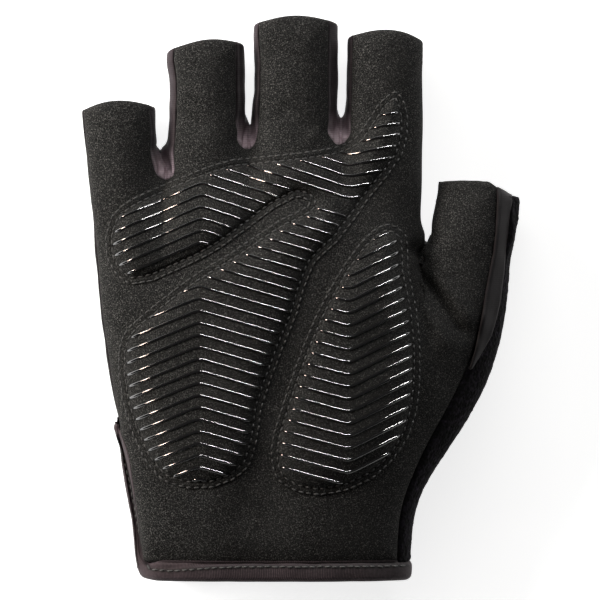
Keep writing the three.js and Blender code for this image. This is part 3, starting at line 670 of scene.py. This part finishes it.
# ---- Grip lines
# Clear silicone printed through a screen onto the pads in chevrons, 3.2 to 3.5 mm apart.
# Each line stands up as a glossy bead that catches the light, and ends at the inner stitch row.

LINE_RADIUS = 0.5 * MM
LINE_STEP = 0.6 * MM
LINE_END = 2.3 * MM  # from the pad's edge
LINE_SUNK = 0.12 * MM  # the bead's middle lies this far under the suede
LINE_TIP = 0.45  # share of the radius at the tip of a line
LINE_TIP_GROWTH = 0.3  # share that it gains with each step from the tip
LINE_POINTS = 5  # a line of fewer points isn't printed

CHEVRONS = [
    # name, pad, height of the first line at its bend, pitch, count, bends as (x, slope before it), last slope,
    # side of the palm pad's channel on which the line starts (1 fingers, -1 heel, 0 either)
    ("finger", "palm_pad", 75.5, 3.15, 11, [(-16.6, 0.43), (25.6, -0.33)], 0.2, 1),
    ("upper_palm", "palm_pad", 40.62, 3.38, 6, [(-16.6, 0.43), (25.6, -0.33)], 0.2, 1),
    ("heel_top", "palm_pad", 46.2, 3.18, 10, [(-16.6, 0.43), (25.2, -0.29)], 0.17, -1),
    ("heel", "palm_pad", 14.4, 3.435, 17, [(-17.4, 0.41), (25.2, -0.29)], 0.17, -1),
    ("thenar", "thenar_pad", 27.5, 3.5, 21, [(25.6, -0.27)], 0.5, 0),
]
BEND_SOFTNESS = 0.6  # millimetres
STRAIGHT = 30  # a bend is over at this many times its softness
CHANNEL = (-29.2, 17.9, 0.481)  # the palm pad's slanting channel: x and y in millimetres, and its slope


def chevron(x, bends, last):
    """Height of a chevron line at x, in millimetres: straight arms joined by soft bends."""
    slopes = [slope for _, slope in bends] + [last]
    height = slopes[0] * (x - bends[0][0])
    for (place, _), before, after in zip(bends, slopes, slopes[1:]):
        t = (x - place) / BEND_SOFTNESS
        soft = BEND_SOFTNESS * (math.log1p(math.exp(t)) if t < STRAIGHT else t)
        height += (after - before) * soft
    return height


def tube_object(name, splines, radius, sides=2):
    """Round beads along lists of (point, share of the radius), as one mesh."""
    curve = bpy.data.curves.new(name, "CURVE")
    curve.dimensions = "3D"
    curve.bevel_depth = radius
    curve.bevel_resolution = sides
    curve.use_fill_caps = True
    for points in splines:
        spline = curve.splines.new("POLY")
        spline.points.add(len(points) - 1)
        for target, (point, share) in zip(spline.points, points):
            target.co = (*point, 1)
            target.radius = share
    made = bpy.data.objects.new(name, curve)
    bpy.context.scene.collection.objects.link(made)
    bpy.context.view_layer.update()
    graph = bpy.context.evaluated_depsgraph_get()
    mesh = bpy.data.meshes.new_from_object(made.evaluated_get(graph))
    bpy.data.objects.remove(made)
    tubes = bmesh.new()
    tubes.from_mesh(mesh)
    bmesh.ops.remove_doubles(tubes, verts=tubes.verts, dist=0.001 * MM)
    bmesh.ops.recalc_face_normals(tubes, faces=tubes.faces)
    return new_object(name, tubes)


def grip_splines(pad, start, pitch, count, bends, last, side):
    """The lines of one family of chevrons, cut off at the pad's inner stitch row."""
    outline, surface = PADS[pad]
    low = min(p.x for p in outline.points)
    high = max(p.x for p in outline.points)
    steps = round((high - low) / LINE_STEP)
    runs = []
    for line in range(count):
        run = []
        for i in range(steps + 1):
            x = low + (high - low) * i / steps
            y = (start - pitch * line + chevron(x / MM, bends, last)) * MM
            if outline.inside(x, y) > LINE_END:
                run.append(Vector((x, y, height_on(surface, x, y) - LINE_SUNK)))
            elif run:
                runs.append(run)
                run = []
        if run:
            runs.append(run)
    splines = []
    for run in runs:
        above_channel = (run[0].y / MM - CHANNEL[1]) - CHANNEL[2] * (run[0].x / MM - CHANNEL[0])
        if len(run) >= LINE_POINTS and above_channel * side >= 0:
            shares = [min(1, LINE_TIP + LINE_TIP_GROWTH * min(i, len(run) - 1 - i)) for i in range(len(run))]
            splines.append(list(zip(run, shares)))
    return splines


# Cast silicone: clear, so it shows the black under it, and glossy, with faint smears.
silicone, tree, place, shader = new_material("screen_printed_silicone")
smears = grains(tree, place, 2.5)
set_sockets(tree, shader, {
    "Base Color": srgb("#0d0c0c"), "Roughness": spread(tree, smears, 0.3, 0.7, 0.06, 0.14),
    "IOR": 1.5, "Specular IOR Level": 1.0, "Coat Weight": 1.0, "Coat IOR": 1.6, "Coat Roughness": 0.07})
roughen(tree, shader, smears, 0.12, 0.1)

for name, *family in CHEVRONS:
    lines = tube_object(name + "_grip_lines", grip_splines(*family), LINE_RADIUS)
    shown(lines, silicone, "silicone")


# ---- Stitches
# Black polyester thread in two lockstitch rows round each pad. The tape's row comes with the tape.
# Each stitch is a short length that dives into the suede at both ends.

STITCH = 1.45 * MM
STITCH_GAP = 0.7 * MM
THREAD_RADIUS = 0.21 * MM
STITCH_JITTER = 0.12 * MM
STITCH_SHAPE = [
    # share of the stitch, height over the cloth in millimetres, share of the radius
    (0, -0.12, 0.6), (0.2, 0.12, 1), (0.5, 0.22, 1.1), (0.8, 0.12, 1), (1, -0.12, 0.6),
]
PATH_END = 1e-7  # metres by which a place stays short of the end of an open path

random.seed(11)


def stitch_splines(path, surface, closed=True, jitter=STITCH_JITTER):
    """Stitches along a path seen from above, laid on a surface."""
    ends = path[1:] + path[:1] if closed else path[1:]
    lengths = [(b - a).length for a, b in zip(path, ends)]
    total = sum(lengths)
    count = int(total / (STITCH + STITCH_GAP))
    pitch = total / count

    def at(distance):
        i = 0
        distance = distance % total if closed else min(distance, total - PATH_END)
        while distance > lengths[i]:
            distance -= lengths[i]
            i += 1
        return path[i].lerp(ends[i], distance / lengths[i])

    splines = []
    for k in range(count):
        slant = Vector((random.uniform(-jitter, jitter), random.uniform(-jitter, jitter), 0))
        points = []
        for share, lift, radius in STITCH_SHAPE:
            spot = at(k * pitch + STITCH * share) + slant * share
            z = height_on(surface, spot.x, spot.y)
            if z is None:
                break
            points.append((Vector((spot.x, spot.y, z + lift * MM)), radius))
        if len(points) == len(STITCH_SHAPE):
            splines.append(points)
    return splines


# Spun polyester thread: a soft sheen broken by its twist.
thread, tree, place, shader = new_material("spun_polyester_thread")
twist = grains(tree, place, 0.25)
set_sockets(tree, shader, {
    "Base Color": blend(tree, spread(tree, twist, 0.35, 0.7), "#1a1a1a", "#5c5b58"),
    "Roughness": 0.5, "Specular IOR Level": 0.45, "Sheen Weight": 0.05})
roughen(tree, shader, twist, 0.6, 0.08)

for node, (outline, surface) in PADS.items():
    splines = []
    for inset in (ROW_OUTER, ROW_INNER):
        splines += stitch_splines(outline.row(inset), surface)
    shown(tube_object(node + "_stitches", splines, THREAD_RADIUS, 1), thread, "thread")


# ---- Back panel
# Plain dark stretch knit over the back of the hand and the backs of the four fingers.
# It is knitted in fine ribs, and lies flat where the glove rests on it.

WAVE_BAND = 0.314  # a wave texture of this scale, over a pitch, has one band to the pitch


def ribs_of(tree, place, pitch, direction, distortion, detail=2.0, detail_scale=1.0):
    """Ribs of a knit or a tape at a pitch in millimetres."""
    return add_node(tree, "ShaderNodeTexWave", {
        "Vector": place, "Scale": WAVE_BAND / (pitch * MM), "Distortion": distortion,
        "Detail": detail, "Detail Scale": detail_scale}, wave_type="BANDS", bands_direction=direction).outputs[1]


def product(tree, first, second):
    """Two patterns, one darkened by the other."""
    return add_node(tree, "ShaderNodeMath", {0: first, 1: second}, operation="MULTIPLY").outputs[0]


# Wales 0.7 mm apart along the hand, and courses 0.55 mm apart across it.
back_knit, tree, place, shader = new_material("warp_knitted_elastane")
wales = ribs_of(tree, place, 0.7, "X", 1.5, detail_scale=2.0)
courses = ribs_of(tree, place, 0.55, "Y", 1.0, detail=1.0)
loops = product(tree, wales, courses)
tone = product(tree, loops, grains(tree, place, 12, 3.0))
set_sockets(tree, shader, {
    "Base Color": blend(tree, tone, "#161517", "#3d393d"), "Roughness": 0.75, "Sheen Weight": 0.05})
roughen(tree, shader, loops, 0.6, 0.15)


def back_lift(p, _):
    """Gentle waves at the sides, and none where the glove lies on the table."""
    return unevenness(p, 16 * MM, 0.3 * MM, 3) * min(1, max(0, p.z / (3 * MM)))


back = cloth_sheet("back_panel_knit", skin_of("back_panel", (0, 0, -1)))
sculpt(back, back_lift)
turn_in(back, "back_panel")
thicken(back)
shown(back, back_knit, "knit", "back_panel")


# ---- Fourchettes and side strip
# Mauve-brown elastane knit between the fingers, each strip folded round its web, and down the
# little-finger side. The cloth is gathered into small pleats where it turns at the web.

# Ribs 0.6 mm apart across the strips. The cloth is paler at the webs, partly because it is stretched there and
# partly as painted light on the web bottoms, which face up to the lamps; the sides of the strips, which face
# away, keep the dark colours as painted shade.
lycra, tree, place, shader = new_material("mauve_elastane_knit")
ribs = ribs_of(tree, place, 0.6, "Y", 1.2)
tone = product(tree, spread(tree, ribs, 0.0, 1.0, 0.65, 1.0), grains(tree, place, 2.2, 4.0))
stretch_and_painted_light = add_node(tree, "ShaderNodeAttribute", attribute_name="stretch_and_painted_light").outputs["Fac"]
# Painted shade: the knit's own dark colours, which also stand for shade on the sides that face away from the
# lamps.
relaxed_and_shaded = blend(tree, tone, "#090708", "#231e20")
# Painted light: pale colours for stretched knit and for light falling on the upturned web bottoms.
stretched_and_lit = blend(tree, tone, "#64555a", "#dcc6ce")
set_sockets(tree, shader, {
    "Base Color": blend(tree, stretch_and_painted_light, relaxed_and_shaded, stretched_and_lit), "Roughness": 0.6, "Specular IOR Level": 0.12,
    "Sheen Weight": 0.05, "Sheen Tint": srgb("#a8959b")})
roughen(tree, shader, ribs, 0.25, 0.08)

LYCRA_WALL = 0.9 * MM
LYCRA_RING = 0.6 * MM
PLEAT_PITCH = 1.4 * MM
PLEAT_DEPTH = 0.5 * MM
PLEAT_RUN = 9 * MM  # the pleats fade out this far up from the bottom of the web
STRETCH_AND_LIGHT_AT_WEB = 1.3  # more than 1, so the bottom of the web fully takes the palest colour, stretched and painted light
STRETCH_AND_LIGHT_RUN = 0.9 * PLEAT_RUN
STRETCH_AND_LIGHT_LEAST = 0.09
WEB_BEND = 85  # degrees: the skin runs on round the web's tight turn

# The walls of the narrow gap between ring and middle finger lean in over it.
WEB_PULLS = [(-5.2, height, 2.0, 0.42, 0.0, -9) for height in range(62, 86, 2)]
WEB_PULLS += [(-1.4, height, 2.0, -0.3, 0.0, -9) for height in range(62, 70, 2)]

for node in ("fourchette_little_ring", "fourchette_ring_middle", "fourchette_middle_index"):
    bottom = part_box(node)[0][1]

    def pleats(p, _, bottom=bottom):
        fade = max(0, 1 - (p.y - bottom) / PLEAT_RUN)
        return (PLEAT_DEPTH * fade * math.sin(2 * math.pi * p.x / PLEAT_PITCH)
                + unevenness(p, 5 * MM, 0.25 * MM, 5))

    fourchette = cloth_sheet(node + "_lycra", skin_of(node, (0, 1, 0.4), WEB_BEND), ring=LYCRA_RING)
    sculpt(fourchette, pleats, roll=0.8 * MM, depth=0.35 * MM, pulls=SEAM_PULLS + WEB_PULLS)
    turn_in(fourchette, node)
    # Painted light and real stretch: palest at the bottom of each web, and dark as painted shade up the sides of
    # the strip.
    stretch_and_painted_light = fourchette.data.attributes.new("stretch_and_painted_light", "FLOAT", "POINT")
    for item, vertex in zip(stretch_and_painted_light.data, fourchette.data.vertices):
        item.value = max(STRETCH_AND_LIGHT_LEAST, min(1, STRETCH_AND_LIGHT_AT_WEB - (vertex.co.y - bottom) / STRETCH_AND_LIGHT_RUN))
    thicken(fourchette, LYCRA_WALL)
    shown(fourchette, lycra, "stretch_cloth", node)

side_strip = cloth_sheet("side_strip_lycra", skin_of("side_strip", (-1, 0, 0)), ring=LYCRA_RING)
sculpt(side_strip, lambda p, _: unevenness(p, 7 * MM, 0.25 * MM, 9), roll=0.8 * MM, depth=0.3 * MM)
turn_in(side_strip, "side_strip")
thicken(side_strip, LYCRA_WALL)
shown(side_strip, lycra, "stretch_cloth", "side_strip")


# ---- Terry panel
# Looped towelling over the back of the thumb and down the thumb side of the hand.
# Its pile is a crowd of small uneven loops, so its surface and its outline are both rough.

# Loops just under a millimetre apart, in clumps of about 1.6 mm.
terry, tree, place, shader = new_material("looped_terry_pile")
pile = add_node(tree, "ShaderNodeTexVoronoi", {"Vector": place, "Scale": 1 / (0.9 * MM)}).outputs[0]
clumps = spread(tree, grains(tree, place, 1.6, 4.0), 0.45, 0.75)
set_sockets(tree, shader, {
    "Base Color": blend(tree, clumps, "#040304", "#26202a"), "Roughness": 1.0, "Specular IOR Level": 0.05,
    "Sheen Weight": 0.04, "Sheen Roughness": 0.6})
roughen(tree, shader, pile, 0.8, 0.35)

# At the thumb's end the upper edge goes on under the thumb strip, and below it the panel swells out.
THUMB_END_PULLS = [
    (75.2, 40.0, 3.0, -1.5, 0.0, 12.5),
    (74.2, 35.0, 3.0, -1.1, 0.0, 12.5),
    (75.0, 32.5, 4.0, 0.9, 0.0, -9),
    (73.8, 26.5, 3.5, 0.7, 0.0, -9),
]


def pile_height(p, _):
    """Height of the loops, 0.5 mm, with single loops and clumps that stand out or lie low."""
    loop = noise.noise(Vector(p) / (0.9 * MM))
    clump = noise.noise(Vector(p) / (2.3 * MM) + Vector((5, 5, 5)))
    return (0.5 + 0.22 * loop + 0.12 * clump) * MM


thumb_back = cloth_sheet("thumb_back_terry", skin_of("thumb_back", (1, 0, 0)))
sculpt(thumb_back, pile_height, pulls=SEAM_PULLS + THUMB_END_PULLS)
turn_in(thumb_back, "thumb_back")
thicken(thumb_back)
terry_surface = surface_of(thumb_back)
shown(thumb_back, terry, "terry", "thumb_back")


# ---- Thumb strip
# A narrow strip of the same knit between the front and the back of the thumb, down to its ball.
# Both its edges lie over the neighbouring cloths and are sewn down.

STRIP_SEAMS = [
    # the seam on the suede (x, y) and the seam on the terry (x, y), in millimetres, from the thumb's end down
    (68.6, 43.1, 73.5, 41.2), (68.3, 36.0, 72.4, 35.2), (68.0, 30.0, 71.8, 29.7), (67.4, 24.5, 71.1, 24.5),
    (66.1, 18.0, 70.5, 18.0), (64.8, 11.1, 69.6, 10.6), (63.8, 5.5, 68.4, 4.9), (62.8, 0.5, 66.9, 0.1),
    (61.9, -3.5, 64.7, -3.6), (61.1, -6.5, 62.9, -6.5), (60.2, -9.6, 60.9, -9.4),
]
STRIP_CROWN = 0.4 * MM
STRIP_FACES = (8, 100)  # across and along
STRIP_SINK = 0.8 * MM  # its edge lies this far down in the pile of the terry
STRIP_ROUNDS = 4  # rounds of smoothing
SEAM_REACH = 2.5 * MM
SEAM_STEPS = 5


def seam_height(surface, x, y, reach):
    """Highest place of a cloth between a seam and a little beyond it."""
    found = [height_on(surface, x + reach * step / SEAM_STEPS, y) for step in range(SEAM_STEPS + 1)]
    return max([z for z in found if z] or [0])


def strip_lift(p, _):
    """The strip stands a little over the cloths that it is sewn to."""
    return 0.4 * MM + unevenness(p, 8 * MM, 0.25 * MM, 4)


strip_skin = bmesh.new()
bmesh.ops.create_grid(strip_skin, x_segments=STRIP_FACES[0], y_segments=STRIP_FACES[1], size=0.5)
for vertex in strip_skin.verts:
    across, along = vertex.co.x + 0.5, (0.5 - vertex.co.y) * (len(STRIP_SEAMS) - 1)
    row = min(int(along), len(STRIP_SEAMS) - 2)
    x0, y0, x1, y1 = [
        (a + (b - a) * (along - row)) * MM for a, b in zip(STRIP_SEAMS[row], STRIP_SEAMS[row + 1])]
    left = seam_height(palm_surface, x0, y0, -SEAM_REACH)
    right = seam_height(terry_surface, x1, y1, SEAM_REACH) - STRIP_SINK
    x, y = x0 + (x1 - x0) * across, y0 + (y1 - y0) * across
    under = [height_on(surface, x, y) or 0 for surface in (palm_surface, terry_surface)]
    height = left + (right - left) * across + STRIP_CROWN * math.sin(math.pi * across)
    vertex.co = x, y, max(height, *under)
for _ in range(STRIP_ROUNDS):
    bmesh.ops.smooth_vert(
        strip_skin, verts=strip_skin.verts, factor=0.5, use_axis_x=False, use_axis_y=False, use_axis_z=True)
bmesh.ops.recalc_face_normals(strip_skin, faces=strip_skin.faces)
thumb_strip = new_object("thumb_strip_lycra", strip_skin)
sculpt(thumb_strip, strip_lift, roll=0.6 * MM, depth=0.3 * MM, pulls=[])
thicken(thumb_strip, LYCRA_WALL)
shown(thumb_strip, lycra, "stretch_cloth", "thumb_strip")


# ---- Hem binding
# Elastic tape folded over the raw edge of the cuff and up both edges of the wrist slit.
# It is sewn through with one row of dark stitches near its inner edge.

TAPE_THICKNESS = 1.9 * MM
TAPE_STAND = 0.35 * MM  # height over the cloths
TAPE_GROOVE = 0.45 * MM
TAPE_GROOVE_WIDTH = 0.55 * MM
TAPE_FRONT = 9 * MM  # z over which the tape is on the palm side, and has the groove
TAPE_FRONT_RUN = 2 * MM
TAPE_SHADE_FROM = 10 * MM
TAPE_SEAT_FROM = 11 * MM  # z over which the tape is laid on the suede
TAPE_SEAT = 0.4 * MM
TAPE_SEAT_DROP = 4 * MM  # suede that is more than this over the tape isn't under it
TAPE_ROUNDS = 6
TAPE_THREAD_RADIUS = 0.24 * MM
TAPE_JITTER = 0.15 * MM
CUFF_MIDDLE = 4 * MM  # x

# The tape's top end stands a little proud of the glove, and the tape lies wide on the palm along the slit
# and along the cuff.
HEM_PULLS = [(-41.0, -27.5, 3.8, -0.9, 1.9, 3)]
HEM_PULLS += [(-38.0 + 0.17 * step, -32.0 - step, 3.0, 0.75, 0.0, 12) for step in range(0, 30, 3)]
HEM_PULLS += [(-30.0 + step, -65.5, 3.0, 0.0, 0.75, 10) for step in range(0, 78, 3)]

# The stitch row on the palm side, from the top of the slit round the corner and along the cuff.
TAPE_ROW = [Vector((x * MM, y * MM, 0)) for x, y in (
    (-40.8, -30.5), (-39.3, -36.0), (-37.6, -42.5), (-35.9, -51.0), (-34.4, -59.5), (-33.2, -65.0),
    (-31.6, -67.2), (-26.0, -67.5), (-20.0, -67.0), (-12.0, -66.4), (-3.0, -66.1), (19.7, -66.1),
    (42.5, -66.2))]


def in_row(p):
    """Share of the stitch row's groove at a place seen from above."""
    spot = Vector((p.x, p.y, 0))
    away = []
    for a, b in zip(TAPE_ROW, TAPE_ROW[1:]):
        share = min(1, max(0, (spot - a).dot(b - a) / (b - a).length_squared))
        away.append((spot - a.lerp(b, share)).length)
    return math.exp(-(min(away) / TAPE_GROOVE_WIDTH) ** 2)


# Warp ribs 0.5 mm apart, across the tape all the way round the cuff: they count outwards from the
# cuff's middle, and down its sides.
binding_tape, tree, place, shader = new_material("folded_elastic_tape")
parts = add_node(tree, "ShaderNodeSeparateXYZ", {0: place}).outputs
from_middle = add_node(tree, "ShaderNodeMath", {0: parts[0], 1: CUFF_MIDDLE}, operation="SUBTRACT").outputs[0]
outwards = add_node(tree, "ShaderNodeMath", {0: from_middle}, operation="ABSOLUTE").outputs[0]
round_cuff = add_node(tree, "ShaderNodeMath", {0: outwards, 1: parts[2]}, operation="SUBTRACT").outputs[0]
along = add_node(tree, "ShaderNodeCombineXYZ", {0: round_cuff}).outputs[0]
tone = product(tree, ribs_of(tree, along, 0.5, "X", 0.8), grains(tree, place, 0.7, 3.0))
# Painted shade: the tape's colour is darkened down in the groove of its stitch row, where shade falls.
row_shade = add_node(tree, "ShaderNodeAttribute", attribute_name="row_shade").outputs["Fac"]
set_sockets(tree, shader, {
    "Base Color": blend(tree, row_shade, blend(tree, tone, "#231c1e", "#655458"), "#120e10"),
    "Roughness": 0.65, "Specular IOR Level": 0.2, "Sheen Weight": 0.06})
roughen(tree, shader, tone, 0.6, 0.15)

hem = cloth_sheet("hem_binding_tape", skin_of("hem_binding", (-1, -0.2, 0)), ring=0.7 * MM)


def tape_lift(p, _):
    """The tape stands over the cloths, and its stitch row pulls a groove into it."""
    front = min(1, max(0, (p.z - TAPE_FRONT) / TAPE_FRONT_RUN))
    return TAPE_STAND + unevenness(p, 6 * MM, 0.3 * MM, 2) - TAPE_GROOVE * front * in_row(p)


sculpt(hem, tape_lift, roll=1.3 * MM, depth=1.0 * MM, pulls=HEM_PULLS)
# It lies on the palm's suede without sinking into it.
tape_skin = bmesh.new()
tape_skin.from_mesh(hem.data)
upper = [vertex for vertex in tape_skin.verts if vertex.co.z > TAPE_SEAT_FROM and vertex.co.y < TAPE_TOP]
for _ in range(TAPE_ROUNDS):
    for vertex in upper:
        under = height_on(palm_surface, vertex.co.x, vertex.co.y) or 0
        if under < vertex.co.z + TAPE_SEAT_DROP:
            vertex.co.z = max(vertex.co.z, under + TAPE_SEAT)
    bmesh.ops.smooth_vert(tape_skin, verts=upper, factor=0.5, use_axis_x=True, use_axis_y=True, use_axis_z=True)
tape_skin.to_mesh(hem.data)
tape_skin.free()
# Painted shade along the stitch row's groove, on the palm side only.
row_shade = hem.data.attributes.new("row_shade", "FLOAT", "POINT")
for item, vertex in zip(row_shade.data, hem.data.vertices):
    item.value = in_row(vertex.co) if vertex.co.z > TAPE_SHADE_FROM else 0
hem_surface = surface_of(hem)
turn_in(hem, "hem_binding")
thicken(hem, TAPE_THICKNESS)
shown(hem, binding_tape, "tape", "hem_binding")

tape_stitches = stitch_splines(TAPE_ROW, hem_surface, closed=False, jitter=TAPE_JITTER)
shown(tube_object("hem_binding_stitches", tape_stitches, TAPE_THREAD_RADIUS, 1), thread, "thread")
